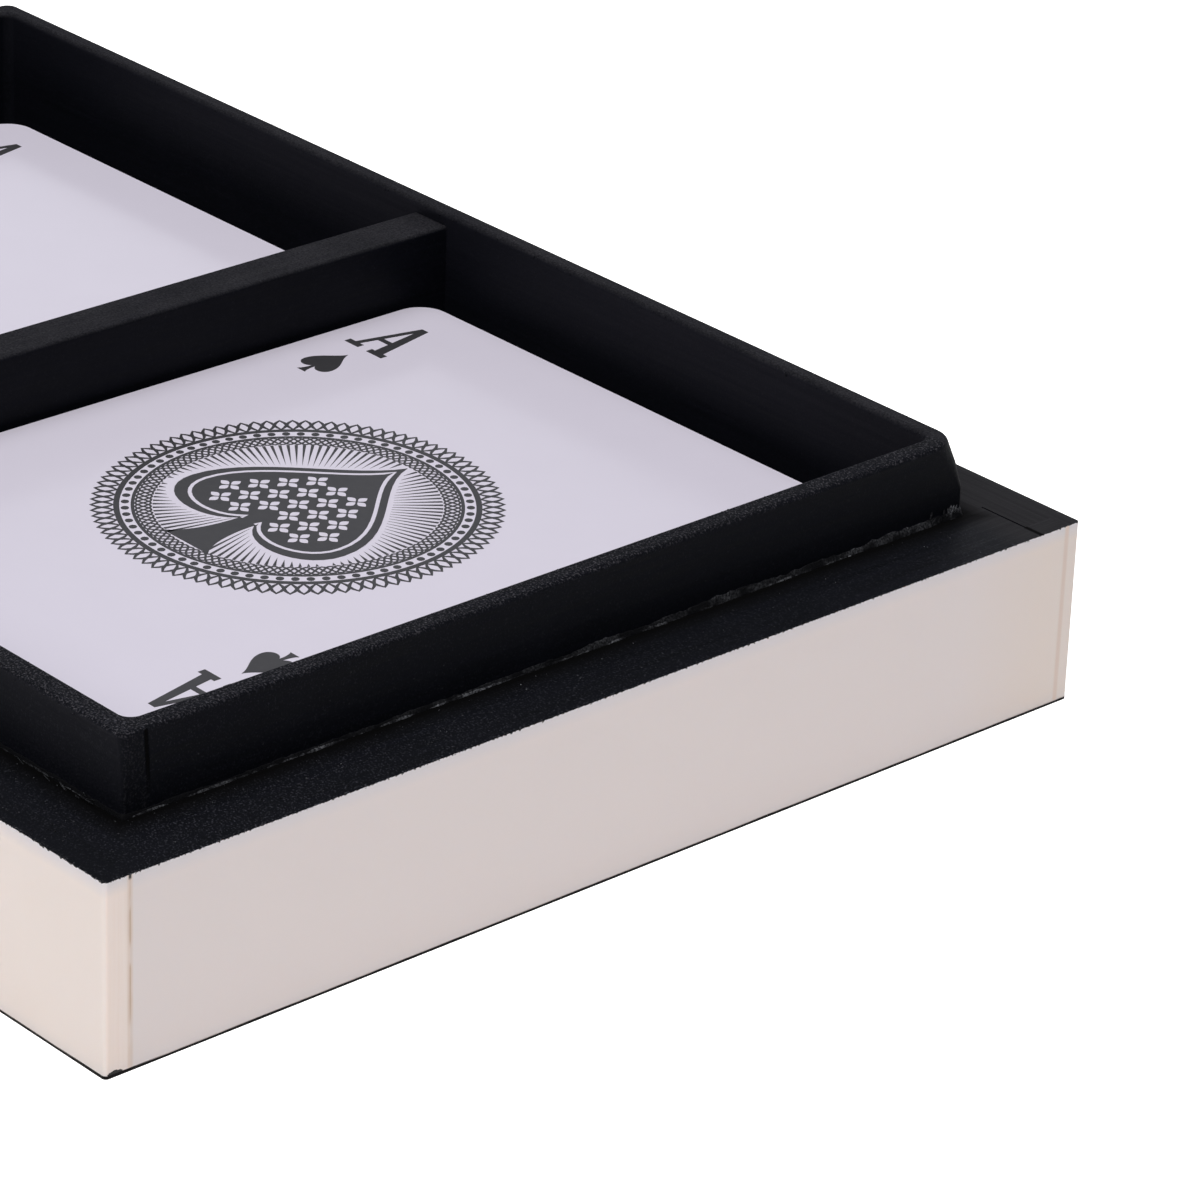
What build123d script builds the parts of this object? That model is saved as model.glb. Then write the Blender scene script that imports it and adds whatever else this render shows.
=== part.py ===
from build123d import *
from math import cos, pi, radians, sin
import os

# A box for two decks of playing cards: a low tray with a stepped lip and a divider, its two decks,
# and the lid that lands on the ledge round the lip. The lid is off and lies on its back beside the
# tray. Millimetres, +Z up, origin at the middle of the tray's underside, +X along the long side.

# Decks of poker-size cards
CARD_WIDTH = 63.5
CARD_LENGTH = 88.0
CARD_CORNER = 3.2
CARD_THICKNESS = 0.3
CARDS_PER_DECK = 52
CORNER_FLATS = 4
CARD_DRIFT = 0.15
DRIFT_TURN = radians(137.5)

# Rooms of the tray: one deck each, with space for fingers, and a divider between them
ROOM_SPARE_WIDTH = 10.0
ROOM_SPARE_DEPTH = 11.6
ROOM_CORNER = 1.2
DIVIDER_THICKNESS = 5.4
DIVIDER_DROP = 1.4
DIVIDER_TOP_ROUND = 0.4

# Where each deck lies in its room: gaps to the divider and to the back lip
RIGHT_DECK_SIDE_GAP = 0.9
RIGHT_DECK_BACK_GAP = 3.65
LEFT_DECK_SIDE_GAP = 0.6
LEFT_DECK_BACK_GAP = 6.4

# Bottom of the tray
LINING_THICKNESS = 0.35
BOTTOM_BOARD = 2.75

# Ledge that the lid lands on, all round the lip
LEDGE_HEIGHT = 19.65
LEDGE_WIDTH = 8.4
CASE_CORNER_RADIUS = 0.45

# Stepped lip: thin boards that stand on the bottom board and rise above the ledge
LIP_RISE = 8.1
LIP_THICKNESS = 2.9
BACK_LIP_THICKNESS = 2.2
LONG_LIP_LEAN = 0.1
END_LIP_LEAN = 0.4
LIP_TOP_ROUND = 0.45
LIP_INNER_ROUND = 0.6
LIP_FOOT_CORNER = 0.4
SANDED_RISE = 5.0
SHOULDER_RISE_SHARE = 0.5
SHOULDER_SANDING_SHARE = 0.4
# Corner radii at the top of the lip, as the hand sanding left them
FRONT_RIGHT_CORNER = 1.0
BACK_RIGHT_CORNER = 3.6
BACK_LEFT_CORNER = 1.6
FRONT_LEFT_CORNER = 1.2

# White facing strips: the long ones cover the ends of the short ones
FRONT_STRIP = 2.8
BACK_STRIP = 1.8
END_STRIP = 2.4

# Walls behind the strips: the long walls keep a tongue at each end, and the end walls stop against it
WALL_TONGUE = 3.5
OPEN_JOINT = 0.2

# Lid, lying on its back
LID_HEIGHT = 19.5
LID_CLEARANCE = 0.35
LID_TOP_SHEET = 1.6
LID_TOP_BOARD = 3.0
LID_SPACING = 20.0

# One overrun for every cut
OVERRUN = 1.0

# Places that several pieces share, from the cards outwards
divider_face = DIVIDER_THICKNESS / 2
room_half_length = divider_face + CARD_WIDTH + ROOM_SPARE_WIDTH
well_half_length = room_half_length + LIP_THICKNESS
well_half_depth = (CARD_LENGTH + ROOM_SPARE_DEPTH + LIP_THICKNESS + BACK_LIP_THICKNESS) / 2
room_front = LIP_THICKNESS - well_half_depth
room_back = well_half_depth - BACK_LIP_THICKNESS
half_length = well_half_length + LEDGE_WIDTH
half_depth = well_half_depth + LEDGE_WIDTH
floor_top = LINING_THICKNESS + BOTTOM_BOARD
lip_top = LEDGE_HEIGHT + LIP_RISE


def block(x_low, x_high, y_low, y_high, z_low, z_high):
    """Box between two places on each axis."""
    middle = Pos((x_low + x_high) / 2, (y_low + y_high) / 2, (z_low + z_high) / 2)
    return middle * Box(x_high - x_low, y_high - y_low, z_high - z_low)


def eased_case(bottom, top):
    """Outer block of the tray or lid with its four upright corners eased."""
    whole = block(-half_length, half_length, -half_depth, half_depth, bottom, top)
    return fillet(whole.edges().filter_by(Axis.Z), CASE_CORNER_RADIUS)


def white_strips(prefix, bottom, top):
    """Four facing strips, cut from one eased block so that their outer faces run flush."""
    case = eased_case(bottom, top)
    front_seam = FRONT_STRIP - half_depth
    back_seam = half_depth - BACK_STRIP
    end_seam = half_length - END_STRIP
    regions = {
        "front": block(-half_length, half_length, -half_depth, front_seam, bottom, top),
        "back": block(-half_length, half_length, back_seam, half_depth, bottom, top),
        "left": block(-half_length, -end_seam, front_seam, back_seam, bottom, top),
        "right": block(end_seam, half_length, front_seam, back_seam, bottom, top),
    }
    return {f"{prefix}{side}_white_strip": case & region for side, region in regions.items()}


def long_wall(side, strip, rim, bottom, top):
    """Long wall behind its strip, with a rabbet at each end that takes the end wall."""
    outer = half_depth - strip
    wall_half = half_length - END_STRIP
    rabbet_start = half_length - rim
    wall = block(-wall_half, wall_half, half_depth - rim, outer, bottom, top)
    rabbet = block(rabbet_start, wall_half + OVERRUN, half_depth - rim - OVERRUN, outer - WALL_TONGUE,
                   bottom - OVERRUN, top + OVERRUN)
    wall = wall - rabbet - mirror(rabbet, Plane.YZ)
    return wall if side == "back" else mirror(wall, Plane.XZ)


def end_wall(rim, bottom, top):
    """Right end wall, seated on the front rabbet, with a slim open joint at the back one."""
    front = FRONT_STRIP + WALL_TONGUE - half_depth
    back = half_depth - BACK_STRIP - WALL_TONGUE - OPEN_JOINT
    return block(half_length - rim, half_length - END_STRIP, front, back, bottom, top)


def case_walls(prefix, rim, bottom, top):
    """Four walls behind the white strips; rim is their outer face to inner face with the strip."""
    right = end_wall(rim, bottom, top)
    return {
        f"{prefix}front_wall": long_wall("front", FRONT_STRIP, rim, bottom, top),
        f"{prefix}back_wall": long_wall("back", BACK_STRIP, rim, bottom, top),
        f"{prefix}left_wall": mirror(right, Plane.YZ),
        f"{prefix}right_wall": right,
    }


def lip_section(height, sanding_share):
    """Outline of the lip at one height; each corner is sanded towards a radius of its own."""
    sanded = [FRONT_RIGHT_CORNER, BACK_RIGHT_CORNER, BACK_LEFT_CORNER, FRONT_LEFT_CORNER]
    radii = [LIP_FOOT_CORNER + sanding_share * (radius - LIP_FOOT_CORNER) for radius in sanded]
    reach_x = well_half_length - sanding_share * END_LIP_LEAN
    reach_y = well_half_depth - sanding_share * LONG_LIP_LEAN
    corners = [(reach_x, -reach_y), (reach_x, reach_y), (-reach_x, reach_y), (-reach_x, -reach_y)]
    return Pos(0, 0, height) * make_face(FilletPolyline(*corners, radius=radii, close=True))


def sanded_lip():
    """Whole lip as one ring: straight below, sanded rounder towards its top corners."""
    sanding_start = lip_top - SANDED_RISE
    foot = lip_section(floor_top, 0)
    waist = lip_section(sanding_start, 0)
    shoulder = lip_section(sanding_start + SHOULDER_RISE_SHARE * SANDED_RISE, SHOULDER_SANDING_SHARE)
    crown = lip_section(lip_top, 1)
    whole = loft([foot, waist], ruled=True) + loft([waist, shoulder, crown], ruled=True)
    whole = fillet(whole.faces().sort_by(Axis.Z)[-1].outer_wire().edges(), LIP_TOP_ROUND)
    room = block(-room_half_length, room_half_length, room_front, room_back,
                 floor_top - OVERRUN, lip_top + OVERRUN)
    room = fillet(room.edges().filter_by(Axis.Z), ROOM_CORNER)
    ring = whole - room
    return fillet(ring.faces().sort_by(Axis.Z)[-1].inner_wires()[0].edges(), LIP_INNER_ROUND)


def lip_boards():
    """Four lip boards; the long ones run the full length and show their end grain.

    The end boards keep the filler that rounds the corners of the rooms."""
    ring = sanded_lip()
    right = block(room_half_length - ROOM_CORNER, half_length, room_front, room_back, floor_top, lip_top)
    regions = {
        "front_lip": block(-half_length, half_length, -half_depth, room_front, floor_top, lip_top),
        "back_lip": block(-half_length, half_length, room_back, half_depth, floor_top, lip_top),
        "left_lip": mirror(right, Plane.YZ),
        "right_lip": right,
    }
    return {name: ring & region for name, region in regions.items()}


def divider():
    """Board between the decks, a little lower than the lip."""
    board = block(-divider_face, divider_face, room_front, room_back, floor_top, lip_top - DIVIDER_DROP)
    top = board.faces().sort_by(Axis.Z)[-1]
    return fillet(top.edges().filter_by(Axis.Y), DIVIDER_TOP_ROUND)


def top_card_outline():
    """Card with true round corners, for the card that shows."""
    return RectangleRounded(CARD_WIDTH, CARD_LENGTH, CARD_CORNER)


def stacked_card_outline():
    """The same card with each round corner in a few short flats, to keep a whole deck light."""
    quarter_turn = pi / 2
    points = []
    for quarter, (side_x, side_y) in enumerate([(1, 1), (-1, 1), (-1, -1), (1, -1)]):
        centre_x = side_x * (CARD_WIDTH / 2 - CARD_CORNER)
        centre_y = side_y * (CARD_LENGTH / 2 - CARD_CORNER)
        for step in range(CORNER_FLATS + 1):
            turn = quarter_turn * (quarter + step / CORNER_FLATS)
            points.append((centre_x + CARD_CORNER * cos(turn), centre_y + CARD_CORNER * sin(turn)))
    return make_face(Polyline(*points, close=True))


def deck(name, x, y):
    """Stack of cards that drift a little from card to card, and the face-up card on top of it."""
    below_top = CARDS_PER_DECK - 1
    stacked_card = extrude(stacked_card_outline(), CARD_THICKNESS)
    stack = []
    for index in range(below_top):
        drift_x = CARD_DRIFT * cos(index * DRIFT_TURN)
        drift_y = CARD_DRIFT * sin(index * DRIFT_TURN)
        stack.append(Pos(x + drift_x, y + drift_y, floor_top + index * CARD_THICKNESS) * stacked_card)
    top_card = extrude(top_card_outline(), CARD_THICKNESS)
    top_place = Pos(x, y, floor_top + below_top * CARD_THICKNESS)
    return {f"{name}_deck_cards": Compound(children=stack), f"{name}_top_card": top_place * top_card}


def both_decks():
    """Right and left decks, each placed by its gaps to the divider and to the back lip."""
    side = divider_face + CARD_WIDTH / 2
    back = room_back - CARD_LENGTH / 2
    right = deck("right", side + RIGHT_DECK_SIDE_GAP, back - RIGHT_DECK_BACK_GAP)
    left = deck("left", -side - LEFT_DECK_SIDE_GAP, back - LEFT_DECK_BACK_GAP)
    return right | left


def tray():
    """Tray without its cards."""
    pieces = white_strips("", LINING_THICKNESS, LEDGE_HEIGHT)
    pieces |= case_walls("", LEDGE_WIDTH, LINING_THICKNESS, LEDGE_HEIGHT)
    pieces |= lip_boards()
    pieces["divider"] = divider()
    pieces["bottom_board"] = block(-well_half_length, well_half_length, -well_half_depth, well_half_depth,
                                   LINING_THICKNESS, floor_top)
    pieces["base_lining"] = eased_case(0, LINING_THICKNESS)
    return pieces


def lid():
    """Lid on its back, with its opening up, beside the left end of the tray."""
    rim = LEDGE_WIDTH - LID_CLEARANCE
    board_top = LID_TOP_SHEET + LID_TOP_BOARD
    reach = half_length - END_STRIP
    front = FRONT_STRIP - half_depth
    back = half_depth - BACK_STRIP
    pieces = white_strips("lid_", 0, LID_HEIGHT)
    pieces |= case_walls("lid_", rim, board_top, LID_HEIGHT)
    pieces["lid_top_sheet"] = block(-reach, reach, front, back, 0, LID_TOP_SHEET)
    pieces["lid_top_board"] = block(-reach, reach, front, back, LID_TOP_SHEET, board_top)
    beside = Pos(-2 * half_length - LID_SPACING, 0, 0)
    return {name: beside * piece for name, piece in pieces.items()}


def export(pieces):
    """One STEP file for each named piece."""
    os.makedirs("parts", exist_ok=True)
    for name, piece in pieces.items():
        solids = piece.solids()
        export_step(solids[0] if len(solids) == 1 else Compound(children=solids), f"parts/{name}.step")
    print(f"{len(pieces)} nodes, tray {2 * half_length:.1f} by {2 * half_depth:.1f} by {lip_top:.1f} mm")


export(tray() | both_decks() | lid())
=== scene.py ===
# %% [markdown]
# A box for two decks of playing cards
#
# The real object is a low tray of painted fibreboard, faced with strips of off-white cast resin.
# A thin lip stands up inside a black ledge, and the lid, which is off here, lands on that ledge.
# The solids come from a CAD model and keep their shape. This lesson gives them their finish and
# adds what is too small or too rough for CAD: filler, crumbs of paint, dust and the cards' print.
# Sizes are written in millimetres, and MM turns them into Blender's metres.

# %% Load the frame
import math
import random
from types import SimpleNamespace

import bmesh
import bpy
from mathutils import Euler, Matrix, Vector, noise
from mathutils.geometry import interpolate_bezier


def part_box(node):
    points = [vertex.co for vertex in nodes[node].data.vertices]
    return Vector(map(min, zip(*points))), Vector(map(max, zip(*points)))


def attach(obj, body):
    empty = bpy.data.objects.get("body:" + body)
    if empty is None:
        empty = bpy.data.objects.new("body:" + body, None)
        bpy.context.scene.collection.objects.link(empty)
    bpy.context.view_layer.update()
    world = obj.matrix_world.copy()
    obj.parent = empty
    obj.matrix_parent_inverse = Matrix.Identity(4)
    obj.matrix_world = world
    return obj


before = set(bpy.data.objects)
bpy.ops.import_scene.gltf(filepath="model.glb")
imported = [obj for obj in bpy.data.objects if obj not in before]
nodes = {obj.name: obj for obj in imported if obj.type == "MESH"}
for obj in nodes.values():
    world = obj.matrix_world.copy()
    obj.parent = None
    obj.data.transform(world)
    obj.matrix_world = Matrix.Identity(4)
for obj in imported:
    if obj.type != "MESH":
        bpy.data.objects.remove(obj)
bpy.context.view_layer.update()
scene = bpy.context.scene
MM = 0.001

# %% [markdown]
# Camera
#
# The photograph was taken with a long lens, from the right and a little above, close to one corner.
# The camera's place was worked out once from corners of known size and is written in millimetres.
# A long lens could be faked by moving far away, but the true distance also gives the true
# narrowing of the box towards its far end. The camera was held a little crooked, hence the roll.

# %% Camera
CAMERA_PLACE = Vector((430.968, -321.865, 255.167)) * MM
CAMERA_AZIMUTH = math.radians(47.200)
CAMERA_ELEVATION = math.radians(25.684)
CAMERA_ROLL = math.radians(2.205)
CAMERA_LENS = 170.14


def camera_turn(azimuth, elevation, roll):
    """Rotation of a camera that looks back along its azimuth and elevation."""
    level = math.cos(elevation)
    back = Vector((math.sin(azimuth) * level, -math.cos(azimuth) * level, math.sin(elevation)))
    right = Vector((0, 0, 1)).cross(back).normalized()
    up = back.cross(right)
    across = math.cos(roll) * right + math.sin(roll) * up
    upward = math.cos(roll) * up - math.sin(roll) * right
    return Matrix((across, upward, back)).transposed().to_4x4()


camera = bpy.data.objects.new("photo_camera", bpy.data.cameras.new("photo_camera"))
camera.data.lens = CAMERA_LENS
turn = camera_turn(CAMERA_AZIMUTH, CAMERA_ELEVATION, CAMERA_ROLL)
camera.matrix_world = Matrix.Translation(CAMERA_PLACE) @ turn
scene.collection.objects.link(camera)
scene.camera = camera
print(f"camera {CAMERA_PLACE.length:.3f} m from the middle of the tray")

# %% [markdown]
# Helpers for colour and nodes
#
# Colours are easiest to read as the hex codes of a colour picker, but shaders count in linear light,
# so one function turns the one into the other. The materials have many nodes, so another small
# function adds a node, sets it up and joins it to what feeds it. It gives back one of the node's
# outputs, which can go straight into the next node. Colours are laid one over the other like coats
# of paint, each where all of its masks let it through.

# %% Colour and node helpers
MIX_UNDER, MIX_OVER = 6, 7
COLOUR_MIX = {"out": 2, "data_type": "RGBA"}


def linear(code):
    """Linear colour, with alpha, of an sRGB hex code."""
    parts = [int(code[start:start + 2], 16) / 255 for start in (1, 3, 5)]
    light = [part / 12.92 if part <= 0.04045 else ((part + 0.055) / 1.055) ** 2.4 for part in parts]
    return (*light, 1.0)


def feed(tree, node, feeds):
    """Fills a node's inputs with values or with links."""
    for key, value in feeds.items():
        if isinstance(value, bpy.types.NodeSocket):
            tree.links.new(value, node.inputs[key])
        else:
            node.inputs[key].default_value = value


def add(tree, kind, feeds, out=0, **settings):
    """Adds a shader node with its settings and links, and returns one of its outputs."""
    node = tree.nodes.new("ShaderNode" + kind)
    for key, value in settings.items():
        setattr(node, key, value)
    feed(tree, node, feeds)
    return node.outputs[out]


def coated(tree, ground, coats):
    """Colour of a ground under several coats, each some masks, which must all hold, and a hex code."""
    colour = linear(ground)
    for share, *masks, code in coats:
        for mask in masks:
            share = add(tree, "Math", {0: share, 1: mask}, operation="MULTIPLY")
        layers = {0: share, MIX_UNDER: colour, MIX_OVER: linear(code)}
        colour = add(tree, "Mix", layers, **COLOUR_MIX)
    return colour


def per(size):
    """Texture scale that gives a pattern of this size in millimetres."""
    return 1 / (size * MM)


def new_material(name):
    """New material, its node tree and its main shader."""
    material = bpy.data.materials.new(name)
    material.use_nodes = True
    return material, material.node_tree, material.node_tree.nodes["Principled BSDF"]


print("mid grey #808080 in linear light:", round(linear("#808080")[0], 3))

# %% [markdown]
# Places that the finishes share
#
# Paint edges, seams and rubbed corners lie at places that the CAD model already knows.
# They are read from the frame, so a change there moves the finish along with the pieces.

# %% Places from the frame
tray_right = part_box("right_white_strip")[1].x
tray_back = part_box("back_white_strip")[1].y
front_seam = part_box("front_white_strip")[1].y
back_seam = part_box("back_white_strip")[0].y
lining_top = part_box("base_lining")[1].z
ledge_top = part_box("front_wall")[1].z
open_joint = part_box("right_wall")[1].y
lip_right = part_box("right_lip")[1].x
lip_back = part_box("back_lip")[1].y
lip_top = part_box("front_lip")[1].z
room_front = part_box("front_lip")[1].y
room_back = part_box("back_lip")[0].y
room_right = lip_right - (room_front + lip_back)
near_corner = (lip_right, -lip_back, ledge_top)
print(f"ledge at {ledge_top / MM:.2f} mm, lip at {lip_top / MM:.2f} mm, room to {room_right / MM:.1f} mm")

# %% [markdown]
# Black paint on fibreboard
#
# The boards are brushed by hand with a thin black that dries to a low sheen. The brush leaves faint
# streaks along each board, and dust has settled in the wet paint, most of it round the front right
# corner. One flat black would look like a hole in the picture. Stretched noise makes the streaks and
# fine noise the grit, which is drawn a little coarser than it is, or it would not show. All black
# paint shares these patterns, so one function collects their sockets under plain names.

# %% Surface of the paint
STROKE_WIDTH = 0.45
STROKE_LENGTH = 16.0
GRIT = 0.20
THIN_PATCH = 7.0
DUST_NEAR, DUST_FAR = 12.0, 70.0


def paint_surface(tree, along):
    """Places, directions and noises that every black paint shares."""
    at = SimpleNamespace()
    at.place = add(tree, "TexCoord", {}, out="Object")
    at.x, at.y, at.z = add(tree, "SeparateXYZ", {0: at.place}).node.outputs
    normal = add(tree, "NewGeometry", {}, out="Normal")
    facing_x, facing_y, facing_z = add(tree, "SeparateXYZ", {0: normal}).node.outputs
    sideways = add(tree, "Math", {0: facing_x}, operation="ABSOLUTE")
    at.ends = add(tree, "MapRange", {0: sideways, 1: 0.7, 2: 0.9})
    at.level = add(tree, "MapRange", {0: facing_z, 1: 0.2, 2: 0.95})
    # Faces turned to the front, and higher up the lip, take a painted highlight in the paint below.
    at.turned = add(tree, "MapRange", {0: facing_y, 1: -0.7, 2: -0.95})
    at.upper = add(tree, "MapRange", {0: at.z, 1: ledge_top, 2: lip_top, 3: 0.25, 4: 1.0})

    stretch = [per(STROKE_LENGTH) if axis == along else per(STROKE_WIDTH) for axis in "XYZ"]
    brush = add(tree, "Mapping", {"Vector": at.place, "Scale": stretch})
    at.strokes = add(tree, "TexNoise", {"Vector": brush, "Scale": 1.0, "Detail": 4.0})
    at.grit = add(tree, "TexNoise", {"Vector": at.place, "Scale": per(GRIT), "Detail": 2.0})
    at.specks = add(tree, "MapRange", {0: at.grit, 1: 0.56, 2: 0.74})
    at.patches = add(tree, "TexNoise", {"Vector": at.place, "Scale": per(THIN_PATCH), "Detail": 3.0})
    away = add(tree, "VectorMath", {0: at.place, 1: near_corner}, out="Value", operation="DISTANCE")
    at.dusty = add(tree, "MapRange", {0: away, 1: DUST_NEAR * MM, 2: DUST_FAR * MM, 3: 1.0, 4: 0.45})
    lying = add(tree, "MapRange", {0: facing_z, 1: 0.0, 2: 0.9, 3: 0.22, 4: 1.0})
    swept = add(tree, "MapRange", {0: at.y, 1: -tray_back, 2: -lip_back, 3: 0.3, 4: 1.0})
    at.settled = (at.dusty, lying, swept)
    return at


print(f"brush streaks {STROKE_WIDTH} by {STROKE_LENGTH} mm, grit {GRIT} mm")

# %% [markdown]
# Worn edges, painted shade and painted sheen
#
# The top edges of the lip were sanded after painting, so they are rough with grit, and an open joint
# shows beside the end grain of its front board. The rim of the ledge is chipped and crossed by
# another open joint. Beside the lip a dark band on the ledge is painted shade at the lip's foot, and
# behind the lip a grey coat is a painted reflection of the bright backdrop in the ledge. Each kind of
# wear or painted light is a function that gives its coats, how much duller it makes the paint and how
# high its grit stands, so that one paint can take any of them.

# %% Thin lines and sanded edges
LINE_CORE = 0.4
GRIT_HEIGHT = 0.35
SANDED_HEIGHT = 1.8
SANDED_GRIT = 0.22
SANDED_DULLNESS = 0.22
END_GRAIN_SHARE = 0.22
JOINT_HALF_WIDTH = 0.30
JOINT_FOOT, JOINT_HEAD = 1.5, 3.5


def thin_line(tree, across, place, half_width):
    """Mask of a thin line where across equals place."""
    off = add(tree, "Math", {0: across, 1: place}, operation="SUBTRACT")
    off = add(tree, "Math", {0: off}, operation="ABSOLUTE")
    fade = {0: off, 1: LINE_CORE * half_width * MM, 2: half_width * MM, 3: 1.0, 4: 0.0}
    return add(tree, "MapRange", fade)


def sanded_edge(tree, at, low, high, code):
    """Grit on top edges and on the end grain in front, and the joint beside that."""
    in_front = add(tree, "Math", {0: at.y, 1: room_front}, operation="LESS_THAN")
    end_grain = add(tree, "Math", {0: at.ends, 1: in_front}, operation="MULTIPLY")
    worn = add(tree, "Math", {0: end_grain, 1: END_GRAIN_SHARE, 2: at.level},
               operation="MULTIPLY_ADD", use_clamp=True)
    rubbed = add(tree, "MapRange", {0: at.patches, 1: 0.3, 2: 0.7, 3: 0.55, 4: 1.0})
    coarse = add(tree, "TexNoise", {"Vector": at.place, "Scale": per(SANDED_GRIT), "Detail": 3.0})
    grain = add(tree, "MapRange", {0: coarse, 1: low, 2: high})
    rise = {0: at.z, 1: ledge_top + JOINT_FOOT * MM, 2: lip_top - JOINT_HEAD * MM}
    high_up = add(tree, "MapRange", rise)
    joint = thin_line(tree, at.y, room_front, JOINT_HALF_WIDTH)
    for mask in (at.ends, high_up):
        joint = add(tree, "Math", {0: joint, 1: mask}, operation="MULTIPLY")
    height = add(tree, "Math", {0: worn, 1: SANDED_HEIGHT, 2: GRIT_HEIGHT}, operation="MULTIPLY_ADD")
    dullness = add(tree, "Math", {0: worn, 1: SANDED_DULLNESS, 2: joint}, operation="MULTIPLY_ADD")
    return [(worn, grain, rubbed, code), (joint, "#010102")], dullness, height


print(f"sanded grit {SANDED_GRIT} mm, joint {2 * JOINT_HALF_WIDTH} mm wide")

# %% Rim and foot of the ledge
GREYED = 1.5
CHIPPED_RIM = (0.45, 0.1)
GROOVE_HALF_WIDTH = 0.32
GROOVE_PLACE = 0.15
GROOVE_DULLNESS = 0.5
SHADED_FOOT = (0.6, 3.0)
SHADED_DULLNESS = 0.4


def painted_sheen_film(tree, at):
    """Painted reflection: a grey coat on the ledge behind the lip, where it mirrors the bright backdrop."""
    behind = add(tree, "MapRange", {0: at.y, 1: lip_back - GREYED * MM, 2: lip_back + GREYED * MM})
    return behind, at.level, "#1B1A1D"


def chipped_rim(tree, at):
    """Chips along the outer edge of the ledge, and the open joint across it."""
    rim = 0.0
    for axis, reach in ((at.x, tray_right), (at.y, tray_back)):
        out = add(tree, "Math", {0: axis}, operation="ABSOLUTE")
        span = {0: out, 1: reach - CHIPPED_RIM[0] * MM, 2: reach - CHIPPED_RIM[1] * MM}
        out = add(tree, "MapRange", span)
        rim = add(tree, "Math", {0: rim, 1: out}, operation="MAXIMUM")
    groove = thin_line(tree, at.y, open_joint + GROOVE_PLACE * MM, GROOVE_HALF_WIDTH)
    dullness = add(tree, "Math", {0: groove, 1: GROOVE_DULLNESS}, operation="MULTIPLY")
    # The grey coat behind the lip is a painted reflection; the chips and the groove are wear.
    coats = [painted_sheen_film(tree, at), (rim, at.specks, at.dusty, "#65666C"), (groove, "#010102")]
    return coats, dullness, GRIT_HEIGHT


def shaded_foot(tree, at):
    """Dark band on the ledge beside the lip: painted shade at the lip's foot."""
    gaps = []
    for axis, reach in ((at.x, lip_right), (at.y, lip_back)):
        out = add(tree, "Math", {0: axis}, operation="ABSOLUTE")
        gaps.append(add(tree, "Math", {0: out, 1: reach}, operation="SUBTRACT"))
    gap = add(tree, "Math", {0: gaps[0], 1: gaps[1]}, operation="MAXIMUM")
    fade = {0: gap, 1: SHADED_FOOT[0] * MM, 2: SHADED_FOOT[1] * MM, 3: 1.0, 4: 0.0}
    beside = add(tree, "MapRange", fade)
    dullness = add(tree, "Math", {0: beside, 1: SHADED_DULLNESS}, operation="MULTIPLY")
    # The near-black band beside the lip is painted shade; the grey coat behind the lip is a painted
    # reflection.
    return [painted_sheen_film(tree, at), (beside, "#020203")], dullness, GRIT_HEIGHT


print(f"painted shade on the ledge up to {SHADED_FOOT[1]} mm from the lip")

# %% [markdown]
# The paints themselves
#
# Every board gets the same thin black, brushed along its length, with scattered cells for the larger
# specks of dust, and a painted highlight on faces turned to the front, stronger towards the lip top.
# What differs is the wear: none, a foot with painted shade, a chipped rim, a roughly sanded lip or a
# smoothly rubbed one; the foot and the rim also carry the painted reflection behind the lip. Two
# loops make each kind for both directions of the brush.

# %% Brushed paints
DUST_SPACING = 1.5
STREAK_HEIGHT = 0.5
PAINT_RELIEF = 0.05
ROUGH_SANDED = (0.54, 0.66, "#4E4D53")
SMOOTH_SANDED = (0.25, 0.90, "#3B3A3F")
WEARS = {
    "brushed": (None, ()),
    "ledge": (shaded_foot, ()),
    "chipped_rim": (chipped_rim, ()),
    "sanded_lip": (sanded_edge, ROUGH_SANDED),
    "rubbed": (sanded_edge, SMOOTH_SANDED),
}


def black_brushed_paint(name, along, wear, grain):
    """Black paint brushed along an axis; wear is a function that adds worn edges, grain its settings."""
    material, tree, shader = new_material(name)
    at = paint_surface(tree, along)
    streaks = add(tree, "MapRange", {0: at.strokes, 1: 0.35, 2: 0.75})
    thin = add(tree, "MapRange", {0: at.patches, 1: 0.5, 2: 0.8, 3: 0.0, 4: 0.6})
    cells = add(tree, "TexVoronoi", {"Vector": at.place, "Scale": per(DUST_SPACING)}).node.outputs
    dots = add(tree, "MapRange", {0: cells["Distance"], 1: 0.04, 2: 0.08, 3: 1.0, 4: 0.0})
    # The coat 14151C on faces turned to the front, stronger towards the lip top, is a painted highlight for
    # the light from the front.
    coats = [(streaks, "#080A13"), (thin, "#0B0D15"), (at.turned, at.upper, "#14151C"),
             (at.specks, *at.settled, "#3A3B43"), (dots, cells["Color"], *at.settled, "#5C5C62")]
    marks, dullness, height = wear(tree, at, *grain) if wear else ([], 0.0, GRIT_HEIGHT)
    ridges = add(tree, "Math", {0: at.strokes, 1: STREAK_HEIGHT}, operation="MULTIPLY")
    relief = add(tree, "Math", {0: at.grit, 1: height, 2: ridges}, operation="MULTIPLY_ADD")
    bumps = add(tree, "Bump", {"Height": relief, "Distance": PAINT_RELIEF * MM, "Strength": 0.8})
    roughness = add(tree, "MapRange", {0: at.strokes, 1: 0.3, 2: 0.7, 3: 0.52, 4: 0.66})
    roughness = add(tree, "Math", {0: roughness, 1: dullness}, operation="ADD", use_clamp=True)
    feed(tree, shader, {"Base Color": coated(tree, "#05070D", coats + marks), "Roughness": roughness,
                        "Normal": bumps, "Specular IOR Level": 0.10})
    return material


paints = {}
for kind, (wear, grain) in WEARS.items():
    for way, axis in (("lengthwise", "X"), ("crosswise", "Y")):
        paints[kind, way] = black_brushed_paint(f"black_{kind}_paint_{way}", axis, wear, grain)
print("black paints made:", len(paints))

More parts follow.
